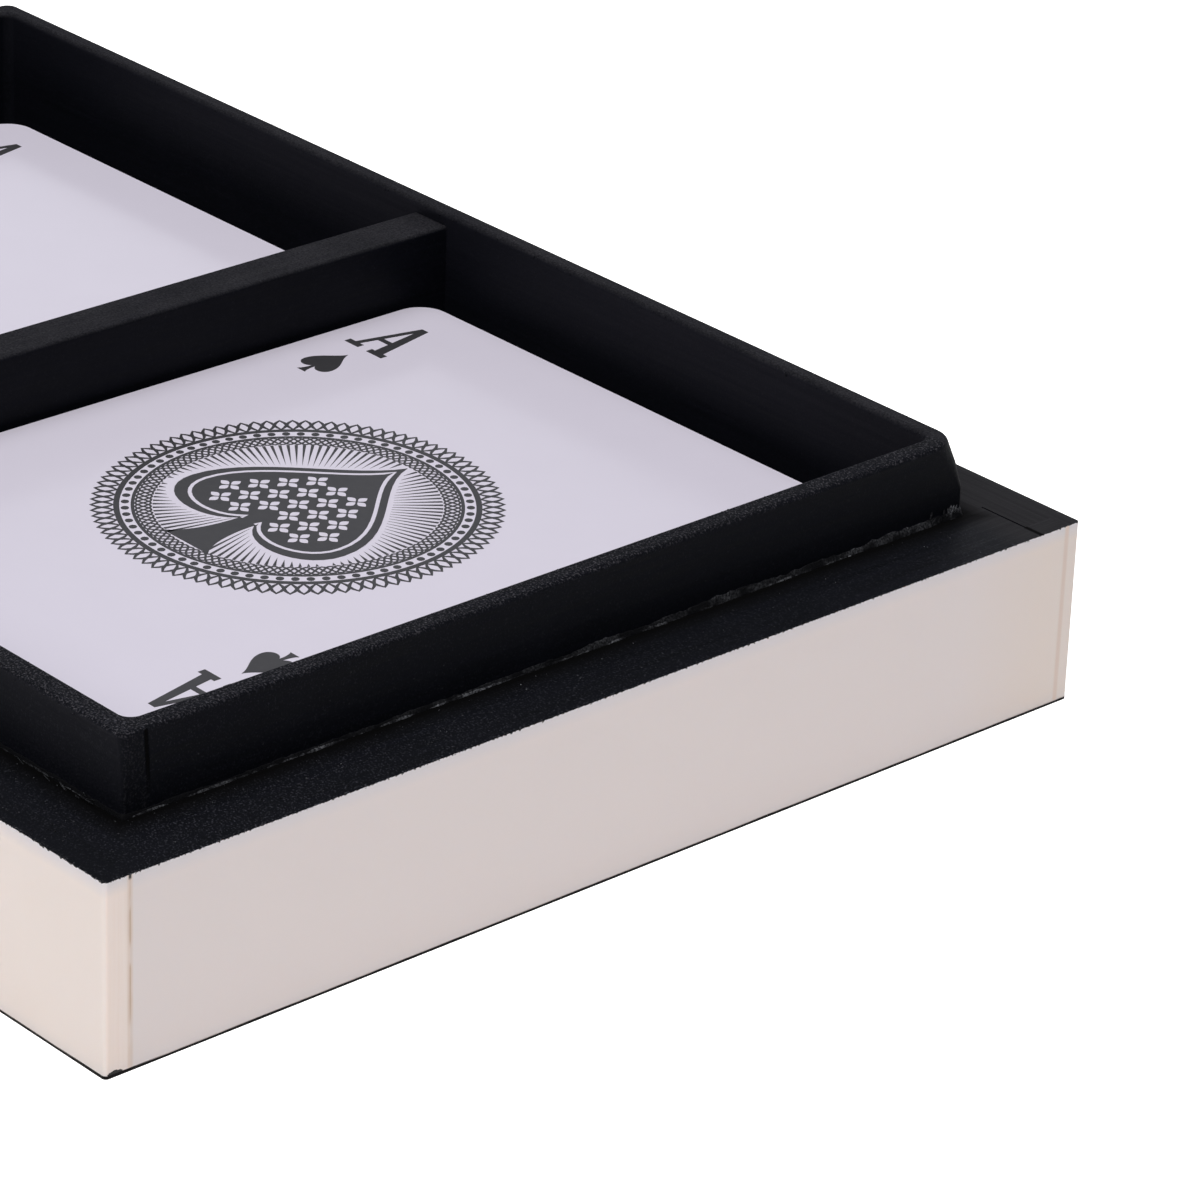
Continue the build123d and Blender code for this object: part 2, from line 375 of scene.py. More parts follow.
# %% [markdown]
# Marks of fitting on the white strips
#
# The strips were glued on, and that shows: glue has stained the seams at the corners tan, the strip at
# the end is a little warmer close to its back seam, and the black of the ledge and of the lining runs
# a hair over the edges. Close to its top and its foot the resin is painted a little cooler: painted
# light, for light that leaks out of the body there. These marks have no thickness, so the material
# draws them at places that the frame gives.

# %% Blob of the lining
BLOB_PLACE = 1.1
BLOB_STRETCH = (1, 1, 2.4)
BLOB_RAG = 0.9
BLOB_EDGE = (1.25, 1.35)


def lining_blob(tree, place, ragged):
    """Mask of the black blob that the lining left by the front right corner."""
    middle = (tray_right, BLOB_PLACE * MM - tray_back, lining_top)
    off = add(tree, "VectorMath", {0: place, 1: middle}, operation="SUBTRACT")
    off = add(tree, "VectorMath", {0: off, 1: BLOB_STRETCH}, operation="MULTIPLY")
    off = add(tree, "VectorMath", {0: off}, out="Value", operation="LENGTH")
    off = add(tree, "Math", {0: ragged, 1: BLOB_RAG * MM, 2: off}, operation="MULTIPLY_ADD")
    fade = {0: off, 1: BLOB_EDGE[0] * MM, 2: BLOB_EDGE[1] * MM, 3: 1.0, 4: 0.0}
    return add(tree, "MapRange", fade)


print(f"blob {BLOB_PLACE} mm from the front right corner")

# %% Marks of fitting
SEAM_HALF_WIDTH = 0.10
HALO_HALF_WIDTH = 0.40
PIT_HALF_WIDTH = 0.22
STAIN_GAP = 4.5
STAIN_RISE = (3.5, 7.0)
PIT_DEPTH = (0.55, 0.3)
RAGGED = 0.35
COOL_EDGE = 1.6
WARM_END = (14.0, 3.0)
PAINT_RAG = 0.8
PAINT_EDGE = 0.05


def fitting_marks_and_painted_glow(tree, place, y, z, ends):
    """Coats that fitting left on the tray's strips, painted light at their top and foot, and the mask of the
    paint that ran over.
    """
    ragged = add(tree, "TexNoise", {"Vector": place, "Scale": per(RAGGED), "Detail": 3.0})
    slow = add(tree, "TexNoise", {"Vector": place, "Scale": per(STAIN_GAP), "Detail": 2.0})
    gaps = add(tree, "MapRange", {0: slow, 1: 0.40, 2: 0.50})
    soaked = add(tree, "MapRange", {0: slow, 1: 0.3, 2: 0.6, 3: 0.35, 4: 0.9})
    # top_glow and foot_glow are painted light: the resin is tinted cooler near its top and foot, where light
    # leaks out.
    top_glow = add(tree, "MapRange", {0: z, 1: ledge_top - COOL_EDGE * MM, 2: ledge_top})
    foot_glow = add(tree, "MapRange", {0: z, 1: COOL_EDGE * MM, 2: 0.0, 4: 0.4})
    rise = add(tree, "MapRange", {0: z, 1: STAIN_RISE[0] * MM, 2: STAIN_RISE[1] * MM, 4: 0.85})
    depth = {0: z, 1: ledge_top - PIT_DEPTH[0] * MM, 2: ledge_top - PIT_DEPTH[1] * MM}
    at_top = add(tree, "MapRange", depth)
    reach = {0: y, 1: back_seam - WARM_END[0] * MM, 2: back_seam - WARM_END[1] * MM}
    warm = add(tree, "MapRange", reach)
    halo = thin_line(tree, y, front_seam, HALO_HALF_WIDTH)
    front_line = thin_line(tree, y, front_seam, SEAM_HALF_WIDTH)
    back_line = thin_line(tree, y, back_seam, HALO_HALF_WIDTH)
    pit = thin_line(tree, y, front_seam, PIT_HALF_WIDTH)
    brim = add(tree, "Math", {0: ragged, 1: PAINT_RAG * MM, 2: z}, operation="MULTIPLY_ADD")
    brim_top = ledge_top + PAINT_RAG / 2 * MM
    painted = add(tree, "MapRange", {0: brim, 1: brim_top - PAINT_EDGE * MM, 2: brim_top})
    coats = [(warm, ends, "#ECE0DA"), (top_glow, "#DEDBE1"), (foot_glow, "#E6E2E5"),
             (back_line, ends, "#E7D4CA"), (halo, ends, soaked, "#E2CDBF"),
             (front_line, gaps, rise, ends, "#CBAE96"), (pit, at_top, ends, "#2A2626"),
             (lining_blob(tree, place, ragged), "#141214"), (painted, "#0E0E10")]
    return coats, painted


print(f"seams at {front_seam / MM:.2f} and {back_seam / MM:.2f} mm")

# %% [markdown]
# Off-white cast resin
#
# The facing strips are cast resin, sawn to size, sanded and buffed to a waxy satin. The face is
# almost even, with soft clouds, and where the long strip shows its sawn end there are faint peach
# streaks. A little light enters the resin and comes out beside where it went in. Plain white would
# look like paper, so the shader scatters some light below the surface, over about a millimetre.

# %% Cast resin
CLOUD = 16.0
CLOUD_RELIEF = 0.02
SAWN_STREAK = (60.0, 0.35, 14.0)
SCATTER = 1.2
RESIN_ROUGHNESS, PAINTED_ROUGHNESS = 0.38, 0.6


def cast_resin(name, fitted):
    """Satin off-white resin; fitted adds the marks that the tray's strips got when they were fitted, and
    painted light at their top and foot.
    """
    material, tree, shader = new_material(name)
    place = add(tree, "TexCoord", {}, out="Object")
    y, z = add(tree, "SeparateXYZ", {0: place}).node.outputs[1:]
    normal = add(tree, "NewGeometry", {}, out="Normal")
    facing = add(tree, "SeparateXYZ", {0: normal}, out="X")
    facing = add(tree, "Math", {0: facing}, operation="ABSOLUTE")
    ends = add(tree, "MapRange", {0: facing, 1: 0.7, 2: 0.9})
    clouds = add(tree, "TexNoise", {"Vector": place, "Scale": per(CLOUD), "Detail": 3.0})
    stretch = [per(size) for size in SAWN_STREAK]
    sawn = add(tree, "Mapping", {"Vector": place, "Scale": stretch})
    streaks = add(tree, "TexNoise", {"Vector": sawn, "Scale": 1.0, "Detail": 2.0})
    streaks = add(tree, "MapRange", {0: streaks, 1: 0.40, 2: 0.80, 3: 0.0, 4: 0.5})
    strip_end = add(tree, "Math", {0: y, 1: front_seam}, operation="LESS_THAN")
    # Faces that look along x are drawn a little darker and cooler than the long faces. The long strip's sawn
    # end is painted lighter, a painted glow for light that enters its front face and leaks out at the end.
    coats = [(clouds, "#F3E9E5"), (ends, "#EAE1E1"), (strip_end, ends, "#F8EAE4"),
             (strip_end, ends, streaks, "#F3E1D7")]

    roughness = RESIN_ROUGHNESS
    if fitted:
        marks, painted = fitting_marks_and_painted_glow(tree, place, y, z, ends)
        coats += marks
        roughness = add(tree, "MapRange", {0: painted, 3: RESIN_ROUGHNESS, 4: PAINTED_ROUGHNESS})
    bumps = add(tree, "Bump", {"Height": clouds, "Distance": CLOUD_RELIEF * MM, "Strength": 0.3})
    feed(tree, shader, {"Base Color": coated(tree, "#EFE4DF", coats), "Roughness": roughness,
                        "Normal": bumps, "Specular IOR Level": 0.4, "Subsurface Weight": 0.15,
                        "Subsurface Scale": SCATTER * MM, "Subsurface Radius": (1.0, 0.8, 0.65)})
    return material


tray_resin = cast_resin("off_white_cast_resin_fitted", fitted=True)
lid_resin = cast_resin("off_white_cast_resin", fitted=False)
print("resin nodes:", len(tray_resin.node_tree.nodes), "and", len(lid_resin.node_tree.nodes))

# %% [markdown]
# Coated card stock
#
# Playing cards are paper with a thin glossy coat, so a card mirrors the bright backdrop, or the dark
# wall where that stands in the way. The brightener in the paper turns it faintly lavender, and the
# cut edges stay rough and grey. The backs carry a plain lattice inside a white border, so that a
# lifted card has an underside. All three are told apart by which way a face looks. The fibres of
# the cut are drawn coarser than they are, or they would not show.

# %% Card stock
LATTICE_STEP = 3.0
LATTICE_LINE = 0.7
BORDER_SHARES = {"X": 0.07, "Y": 0.05}
PAPER_CLOUD = 6.0
PAPER_RELIEF = 0.02
CUT_FIBRE = 0.25


def coated_card_stock(name):
    """Card stock: coated face, latticed back and cut edges."""
    material, tree, shader = new_material(name)
    place = add(tree, "TexCoord", {}, out="Object")
    normal = add(tree, "NewGeometry", {}, out="Normal")
    up = add(tree, "SeparateXYZ", {0: normal}, out="Z")
    clouds = add(tree, "TexNoise", {"Vector": place, "Scale": per(PAPER_CLOUD), "Detail": 5.0})
    fibres = add(tree, "TexNoise", {"Vector": place, "Scale": per(CUT_FIBRE), "Detail": 2.0})
    level = add(tree, "Math", {0: up}, operation="ABSOLUTE")
    cut = add(tree, "MapRange", {0: level, 1: 0.6, 2: 0.4})

    lattice = 0.0
    for slope in (1, -1):
        turned = add(tree, "Mapping", {"Vector": place, "Rotation": (0, 0, slope * math.pi / 4)})
        across = add(tree, "SeparateXYZ", {0: turned}, out="X")
        wave = add(tree, "Math", {0: across, 1: LATTICE_STEP * MM}, operation="PINGPONG")
        line = add(tree, "Math", {0: wave, 1: LATTICE_LINE * MM}, operation="LESS_THAN")
        lattice = add(tree, "Math", {0: lattice, 1: line}, operation="MAXIMUM")
    share = add(tree, "TexCoord", {}, out="Generated")
    shares = add(tree, "SeparateXYZ", {0: share}).node.outputs
    for axis, border in BORDER_SHARES.items():
        off = add(tree, "Math", {0: shares[axis], 1: 0.5}, operation="SUBTRACT")
        off = add(tree, "Math", {0: off}, operation="ABSOLUTE")
        within = add(tree, "Math", {0: off, 1: 0.5 - border}, operation="LESS_THAN")
        lattice = add(tree, "Math", {0: lattice, 1: within}, operation="MULTIPLY")
    under = add(tree, "Math", {0: up, 1: -0.5}, operation="LESS_THAN")

    coats = [(clouds, "#E6E2F2"), (cut, "#B9B3B4"), (cut, fibres, "#DCD6D8"), (lattice, under, "#3A3A44")]
    roughness = add(tree, "MapRange", {0: cut, 3: 0.17, 4: 0.85})
    bumps = add(tree, "Bump", {"Height": clouds, "Distance": PAPER_RELIEF * MM, "Strength": 0.25})
    feed(tree, shader, {"Base Color": coated(tree, "#E3DFEF", coats), "Roughness": roughness,
                        "Normal": bumps, "Specular IOR Level": 0.5})
    return material


card_stock = coated_card_stock("coated_card_stock")
print("card stock nodes:", len(card_stock.node_tree.nodes))

# %% [markdown]
# Lining under the base
#
# A sheet of black flock paper is glued under the tray so that it doesn't scratch a table.
# Only its cut edge shows, as the thin black line at the foot of the white strips. Flock is a pile
# of tiny fibres on pale paper, so it has no gloss, and the cut shows a little of the paper above the
# black, here more and there less, which makes the line uneven. By the front right corner, where the
# black was smeared, no paper shows. The pile is drawn a little coarser than it is, so that it shows.

# %% Flock lining
FLOCK = 0.35
FLOCK_RELIEF = 0.1
CUT_WAVE = 5.0
PAPER_SHOWN = 0.06
PAPER_EDGE = 0.02
SMEARED_CORNER = (3.0, 7.0)


def black_flock_paper(name):
    """Black flock with a fine pile on pale paper."""
    material, tree, shader = new_material(name)
    place = add(tree, "TexCoord", {}, out="Object")
    pile = add(tree, "TexNoise", {"Vector": place, "Scale": per(FLOCK), "Detail": 4.0})
    height = add(tree, "SeparateXYZ", {0: place}, out="Z")
    uneven = add(tree, "TexNoise", {"Vector": place, "Scale": per(CUT_WAVE), "Detail": 4.0})
    cut = add(tree, "Math", {0: uneven, 1: 2 * PAPER_SHOWN * MM, 2: height}, operation="MULTIPLY_ADD")
    paper = add(tree, "MapRange", {0: cut, 1: lining_top - PAPER_EDGE * MM, 2: lining_top})
    corner = (tray_right, -tray_back, lining_top)
    away = add(tree, "VectorMath", {0: place, 1: corner}, out="Value", operation="DISTANCE")
    away = add(tree, "MapRange", {0: away, 1: SMEARED_CORNER[0] * MM, 2: SMEARED_CORNER[1] * MM})
    bumps = add(tree, "Bump", {"Height": pile, "Distance": FLOCK_RELIEF * MM, "Strength": 1.0})
    coats = [(pile, "#1A191A"), (paper, away, "#D6CCC8")]
    feed(tree, shader, {"Base Color": coated(tree, "#08080A", coats), "Roughness": 0.95,
                        "Normal": bumps, "Specular IOR Level": 0.05, "Sheen Weight": 0.1})
    return material


flock = black_flock_paper("black_flock_paper")
print("lining made:", flock.name)

# %% [markdown]
# Dressing the CAD pieces
#
# Each piece gets one material, apart from the white strips: their upper edges were painted together
# with the ledge, so faces that look up take the paint from a second slot. The front and right boards
# of the lip were sanded roughly, the others rubbed smooth. The vertices aren't touched, only the
# choice of material for each face.

# %% Materials on the CAD pieces
UPWARD = 0.7


def dress(name, *finishes):
    """Gives a CAD piece its finish, and a second one to the faces that look up."""
    mesh = nodes[name].data
    mesh.materials.clear()
    for finish in finishes:
        mesh.materials.append(finish)
    for face in mesh.polygons:
        face.material_index = 1 if len(finishes) > 1 and face.normal.z > UPWARD else 0


for side in ("front", "back", "left", "right"):
    way = "lengthwise" if side in ("front", "back") else "crosswise"
    dress(f"{side}_white_strip", tray_resin, paints["chipped_rim", way])
    dress(f"{side}_wall", paints["ledge", way])
    lip_wear = "sanded_lip" if side in ("front", "right") else "rubbed"
    dress(f"{side}_lip", paints[lip_wear, way])
    dress(f"lid_{side}_white_strip", lid_resin, paints["brushed", way])
    dress(f"lid_{side}_wall", paints["brushed", way])
for side in ("left", "right"):
    dress(f"{side}_deck_cards", card_stock)
    dress(f"{side}_top_card", card_stock)
dress("divider", paints["rubbed", "crosswise"])
dress("bottom_board", paints["brushed", "lengthwise"])
dress("base_lining", flock)
dress("lid_top_board", paints["brushed", "lengthwise"])
dress("lid_top_sheet", lid_resin)
print("dressed:", len(nodes), "pieces")

# %% [markdown]
# Filler at the foot of the lip
#
# The lip was glued into the tray, and the gap was smoothed by hand with filler. A thin smear of it
# runs up the lip, higher and paler towards the back, and its lower edge dried to a line of pale crumbs
# right in the corner. A bump can't give these a silhouette, so both are meshes: a section is carried
# once round the lip, and noise makes it swell and shrink on the way.

# %% Dried filler
FILLER_SPECK = 0.22
FILLER_PATCH = 2.4
FILLER_RELIEF = 0.08
SMEAR_PALENESS = (0.0, 0.30)
BEAD_PALENESS = (0.40, 1.0)


def dried_filler(name, paleness):
    """Filler that dried specked under a thin coat of black, paler towards the back of the tray."""
    material, tree, shader = new_material(name)
    place = add(tree, "TexCoord", {}, out="Object")
    depth = add(tree, "SeparateXYZ", {0: place}, out="Y")
    span = {0: depth, 1: -lip_back, 2: lip_back, 3: paleness[0], 4: paleness[1]}
    backward = add(tree, "MapRange", span)
    specks = add(tree, "TexNoise", {"Vector": place, "Scale": per(FILLER_SPECK), "Detail": 3.0})
    bare = add(tree, "MapRange", {0: specks, 1: 0.38, 2: 0.72})
    patches = add(tree, "TexNoise", {"Vector": place, "Scale": per(FILLER_PATCH), "Detail": 3.0})
    shown = add(tree, "MapRange", {0: patches, 1: 0.42, 2: 0.64, 3: 0.06, 4: 1.0})
    bumps = add(tree, "Bump", {"Height": specks, "Distance": FILLER_RELIEF * MM, "Strength": 0.9})
    coats = [(shown, backward, "#2A2B31"), (bare, shown, backward, "#9EA2AA")]
    feed(tree, shader, {"Base Color": coated(tree, "#08090D", coats), "Roughness": 0.75,
                        "Normal": bumps, "Specular IOR Level": 0.12})
    return material


smeared_filler = dried_filler("smeared_black_filler", SMEAR_PALENESS)
filler = dried_filler("dried_black_filler", BEAD_PALENESS)
print("fillers made:", smeared_filler.name, "and", filler.name)

# %% Way round the lip's foot
BEAD_STEP = 0.4 * MM
FOOT_CORNER = 0.4 * MM
CORNER_STEPS = 4


def foot_route():
    """Places along the lip's foot and the way out from it at each, once round the tray."""
    route = []
    for quarter in range(4):
        turn = quarter * math.pi / 2
        out = Vector((math.cos(turn), math.sin(turn), 0))
        along = Vector((-out.y, out.x, 0))
        reach, half = (lip_right, lip_back) if quarter % 2 == 0 else (lip_back, lip_right)
        half -= FOOT_CORNER
        count = round(2 * half / BEAD_STEP)
        for step in range(count + 1):
            route.append((out * reach + along * (2 * step / count - 1) * half, out))
        for step in range(1, CORNER_STEPS):
            bend = turn + math.pi / 2 * step / CORNER_STEPS
            way = Vector((math.cos(bend), math.sin(bend), 0))
            route.append((out * (reach - FOOT_CORNER) + along * half + way * FOOT_CORNER, way))
    return route


lip_foot = foot_route()
print("places round the lip's foot:", len(lip_foot))

# %% Sizes of the smear and the bead
SMEAR_LUMPS = ((0.35, 0.9), (0.5, 4.3))
BEAD_LUMPS = ((0.5, 0.6), (0.7, 3.1))
SMEAR_HEIGHT, SMEAR_GAIN, LEAST_SMEAR = 0.40, 0.35, 0.15
BEAD_HEIGHT, BEAD_GAIN, LEAST_BEAD = 0.17, 0.07, 0.07


def lumpy(place, lumps):
    """How much filler swells at a place; each lump is a strength and a size in millimetres."""
    return 1 + sum(strength * noise.noise(place / (size * MM)) for strength, size in lumps)


def smear_size(place):
    """Height of the smear of filler on the lip at a place along the foot, in metres."""
    towards_back = (place.y + lip_back) / (2 * lip_back)
    height = (SMEAR_HEIGHT + SMEAR_GAIN * towards_back ** 2) * lumpy(place, SMEAR_LUMPS)
    return max(LEAST_SMEAR, height) * MM


def bead_size(place):
    """Half the height of the pale line at a place along the foot, in metres."""
    towards_back = (place.y + lip_back) / (2 * lip_back)
    height = (BEAD_HEIGHT + BEAD_GAIN * towards_back) * lumpy(place, BEAD_LUMPS)
    return max(LEAST_BEAD, height) * MM


heights = [smear_size(place) / MM for place, out in lip_foot]
print(f"smear of filler {min(heights):.2f} to {max(heights):.2f} mm high")

# %% Smear and bead
ROOT = 0.2 * MM
BEAD_RISE = -0.02 * MM
SKIN_LUMP = (0.2, 0.4)
SMEAR_SHARES = ((-1.0, -0.2), (0.40, -0.2), (0.36, 0.1), (0.24, 0.4), (0.13, 0.75), (0.05, 1.0), (-1.0, 1.1))
BEAD_SHARES = ((-1.0, -0.6), (0.5, -0.7), (1.0, -0.2), (0.9, 0.4), (0.4, 0.8), (-1.0, 1.0))


def finished_piece(name, mesh, finish, body):
    """Turns a bmesh into a piece that rides on a body."""
    data = bpy.data.meshes.new(name)
    mesh.to_mesh(data)
    mesh.free()
    data.materials.append(finish)
    piece = bpy.data.objects.new(name, data)
    scene.collection.objects.link(piece)
    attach(piece, body)
    print(f"{name}: {len(data.vertices)} points, {len(data.polygons)} faces")
    return piece


def carried(name, shares, size_at, rise, finish):
    """Piece made by carrying a section once round the lip's foot; it swells with size_at."""
    mesh = bmesh.new()
    rings = []
    for place, out in lip_foot:
        size = size_at(place)
        ring = []
        for share_out, share_up in shares:
            lump = lumpy(place + Vector((0, 0, share_up * MM)), [SKIN_LUMP])
            reach = -ROOT if share_out < 0 else share_out * size * lump
            height = ledge_top + rise + share_up * size * lump
            ring.append(mesh.verts.new(place + out * reach + Vector((0, 0, height))))
        rings.append(ring)
    for ring, after in zip(rings, rings[1:] + rings[:1]):
        for index in range(len(ring)):
            face = mesh.faces.new((ring[index], after[index], after[index - 1], ring[index - 1]))
            face.smooth = True
    bmesh.ops.recalc_face_normals(mesh, faces=mesh.faces)
    return finished_piece(name, mesh, finish, "tray")


carried("lip_foot_fillet", SMEAR_SHARES, smear_size, 0.0, smeared_filler)
carried("lip_foot_filler", BEAD_SHARES, bead_size, BEAD_RISE, filler)

# %% [markdown]
# Crumbs and dust
#
# Sanding leaves crumbs of paint on the edges of the lip, flakes along the front foot and pale dust on
# the ledge, and at the back right corner slivers of filler stand up. Each is a tiny squashed ball
# with few faces. A fixed seed places them, so that every run gives the same dust, and none stands
# higher than the lip itself.

# %% Crumbs on the lip's edges
CRUMB_SEED = 7
EDGE_CRUMBS = 70
CRUMB_SIZE = (0.05, 0.13)
CRUMB_LEAN = (48, 85)
EDGE_ROUND = 0.45 * MM
LIP_LEAN = 0.4 * MM
draw = random.Random(CRUMB_SEED)


def crumb_piece(name, crumbs, finish):
    """One piece with many crumbs; each crumb is a place, a size on each axis and a turn."""
    mesh = bmesh.new()
    for place, size, turn in crumbs:
        stretch = Matrix.Diagonal((*size, 1))
        shape = Matrix.Translation(place) @ Euler(turn).to_matrix().to_4x4() @ stretch
        bmesh.ops.create_icosphere(mesh, subdivisions=1, radius=1.0, matrix=shape)
    return finished_piece(name, mesh, finish, "tray")


def edge_crumb(side, inner):
    """Crumb on the rounded top edge of one side of the lip."""
    size = draw.uniform(*CRUMB_SIZE) * MM
    lean = math.radians(draw.uniform(*CRUMB_LEAN))
    drop = EDGE_ROUND * (1 - math.cos(lean))
    inset = EDGE_ROUND * (1 - math.sin(lean))
    reach_x = room_right + inset if inner else lip_right - inset - LIP_LEAN
    front, back = (room_front - inset, room_back + inset) if inner else (inset - lip_back, lip_back - inset)
    if side in ("front", "back"):
        spot = Vector((draw.uniform(-room_right, room_right), front if side == "front" else back, 0))
    else:
        spot = Vector((reach_x if side == "right" else -reach_x, draw.uniform(room_front, room_back), 0))
    spot.z = lip_top - drop - size
    sizes = [size * draw.uniform(0.6, 1.4) for _ in "xy"] + [size * draw.uniform(0.4, 0.8)]
    return spot, sizes, [draw.uniform(0, math.tau) for _ in "xyz"]


edge_crumbs = []
for side in ("front", "right", "back", "left"):
    for inner in (True, False):
        edge_crumbs += [edge_crumb(side, inner) for _ in range(EDGE_CRUMBS)]
crumb_piece("lip_edge_crumbs", edge_crumbs, paints["sanded_lip", "crosswise"])

# %% Dust, flakes and slivers
DUST_SPECKS = 320
DUST_SPREAD, DUST_REACH = 30 * MM, 100 * MM
DUST_DEPTH = (0.4, 8.0)
DUST_SIZE = (0.03, 0.09)
FRONT_SHARE = 0.4
FLAKES = 60
FLAKE_SIZES = ((0.3, 1.1), (0.04, 0.09), (0.03, 0.07))
FLAKE_TURNS = (0.6, 0.15, 0.35)
SLIVERS = 14
SLIVER_SIZES = ((0.06, 0.12), (0.06, 0.16), (0.3, 0.6))


def ledge_speck():
    """Speck of dust on the ledge, most often close to the front right corner."""
    run = min(draw.expovariate(1 / DUST_SPREAD), DUST_REACH)
    depth = draw.uniform(*DUST_DEPTH) * MM
    along_front = draw.random() < FRONT_SHARE
    x = lip_right - run if along_front else lip_right + depth
    y = -lip_back - depth if along_front else run - lip_back
    size = draw.uniform(*DUST_SIZE) * MM
    sizes = [size * draw.uniform(0.6, 1.5) for _ in "xyz"]
    return Vector((x, y, ledge_top + 0.3 * size)), sizes, (0, 0, draw.random())


def foot_flake():
    """Long thin flake of paint along the front foot of the lip."""
    spot = Vector((draw.uniform(0.2, 0.97) * lip_right, -lip_back - draw.uniform(0.1, 0.7) * MM,
                   ledge_top + draw.uniform(0.1, 0.4) * MM))
    sizes = [draw.uniform(*span) * MM for span in FLAKE_SIZES]
    return spot, sizes, [draw.uniform(-most, most) for most in FLAKE_TURNS]


def corner_sliver():
    """Sliver of filler that stands up at the back end of the right side."""
    spot = Vector((lip_right + draw.uniform(0.05, 0.3) * MM, lip_back - draw.uniform(0.8, 4.5) * MM,
                   ledge_top + draw.uniform(0.3, 1.2) * MM))
    sizes = [draw.uniform(*span) * MM for span in SLIVER_SIZES]
    return spot, sizes, (draw.uniform(-0.5, 0.3), draw.uniform(-0.2, 0.2), 0)


crumb_piece("ledge_dust", [ledge_speck() for _ in range(DUST_SPECKS)], filler)
crumb_piece("front_foot_flakes", [foot_flake() for _ in range(FLAKES)], filler)
crumb_piece("back_corner_tuft", [corner_sliver() for _ in range(SLIVERS)], filler)

# %% [markdown]
# Printing ink
#
# The print on a card is a film of black ink under the same gloss, far thinner than the card. It could
# be drawn in the material, but letters and suit marks are much easier as flat outlines, and outlines
# stay sharp at any distance. Each stroke becomes a very thin closed sheet that lies on the card and
# moves with it: a top, an underside, and sides along the edges that belong to one face alone.
# Strokes that cross lie at slightly different heights, so that their faces don't meet.

# %% Ink
INK_MOTTLE = 0.8


def printing_ink(name, dark, pale):
    """Glossy ink that is a little uneven, as offset print is."""
    material, tree, shader = new_material(name)
    place = add(tree, "TexCoord", {}, out="Object")
    mottle = add(tree, "TexNoise", {"Vector": place, "Scale": per(INK_MOTTLE), "Detail": 3.0})
    feed(tree, shader, {"Base Color": coated(tree, dark, [(mottle, pale)]), "Roughness": 0.30,
                        "Specular IOR Level": 0.2})
    return material


# The ink is drawn dark grey rather than black: part of that grey is painted sheen from the card's gloss.
black_ink = printing_ink("black_offset_ink", "#37373B", "#414144")
print("ink made:", black_ink.name)

# %% Film of ink
INK_THICKNESS = 0.02 * MM
FILM_DEPTH = 1.5 * INK_THICKNESS
INK_STEP = 0.001 * MM
INK_LAYERS = 12
ROUND_OFF = 4


def ink_film(name, shapes, card, body, ink, shift, lift=0.0):
    """Thin closed sheets, one for each shape, on a card; shift is how far the print is off its middle."""
    low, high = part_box(card)
    middle = (low + high) / 2 + Vector((*shift, 0)) * MM
    mesh = bmesh.new()
    for index, faces in enumerate(shapes):
        level = high.z + lift + INK_THICKNESS + INK_STEP * (index % INK_LAYERS)
        upper, lower, edges = {}, {}, {}
        for face in faces:
            keys = [(round(x, ROUND_OFF), round(y, ROUND_OFF)) for x, y in face]
            for key, (x, y) in zip(keys, face):
                if key not in upper:
                    place = Vector((middle.x + x * MM, middle.y + y * MM, level))
                    upper[key] = mesh.verts.new(place)
                    lower[key] = mesh.verts.new(place - Vector((0, 0, FILM_DEPTH)))
            mesh.faces.new([upper[key] for key in keys])
            mesh.faces.new([lower[key] for key in reversed(keys)])
            edges.update(dict.fromkeys(zip(keys, keys[1:] + keys[:1])))
        for start, end in edges:
            if (end, start) not in edges:
                mesh.faces.new((upper[start], lower[start], lower[end], upper[end]))
    bmesh.ops.recalc_face_normals(mesh, faces=mesh.faces)
    return finished_piece(name, mesh, ink, body)


print(f"film {INK_THICKNESS / MM:.2f} mm above the card, at {INK_LAYERS} heights in turn")

# %% [markdown]
# Outlines of the print
#
# A suit mark is a closed outline from a few curves, a letter is a handful of straight strokes, and a
# line is a ribbon of short four-sided faces along a path. Every print is the same upside down, so
# each shape can be turned half round about the card's middle.

# %% Curves and moves
CURVE_STEPS = 14


def moved(faces, x=0.0, y=0.0):
    """The same faces at another place."""
    return [[(px + x, py + y) for px, py in face] for face in faces]


def half_turn(faces):
    """The same faces turned half round about the card's middle."""
    return [[(-px, -py) for px, py in face] for face in faces]


def both_corners(shapes):
    """Shapes at one corner and, turned half round, at the other."""
    return shapes + [half_turn(faces) for faces in shapes]


def curved(curves):
    """Points along a chain of Bezier curves, each given by its four points."""
    points = []
    for curve in curves:
        bend = [Vector((x, y, 0)) for x, y in curve]
        points += [(p.x, p.y) for p in interpolate_bezier(*bend, CURVE_STEPS)][:-1]
    return points + [curves[-1][-1]]


print("points on each curve:", CURVE_STEPS)

# %% Spade, ribbon, circle and bar
RING_STEPS = 120


def spade(height, width):
    """Outline of a spade that stands on the origin, as one face."""
    half = width / 2
    root = 0.10 * half
    right = curved([
        [(0, height), (0.14 * half, 0.80 * height), (half, 0.62 * height), (half, 0.36 * height)],
        [(half, 0.36 * height), (half, 0.17 * height), (0.32 * half, 0.13 * height), (root, 0.27 * height)],
        [(root, 0.27 * height), (root, 0.14 * height), (0.18 * half, 0.04 * height), (0.30 * half, 0)],
    ])
    left = [(-x, y) for x, y in reversed(right[1:])]
    return [right + left]


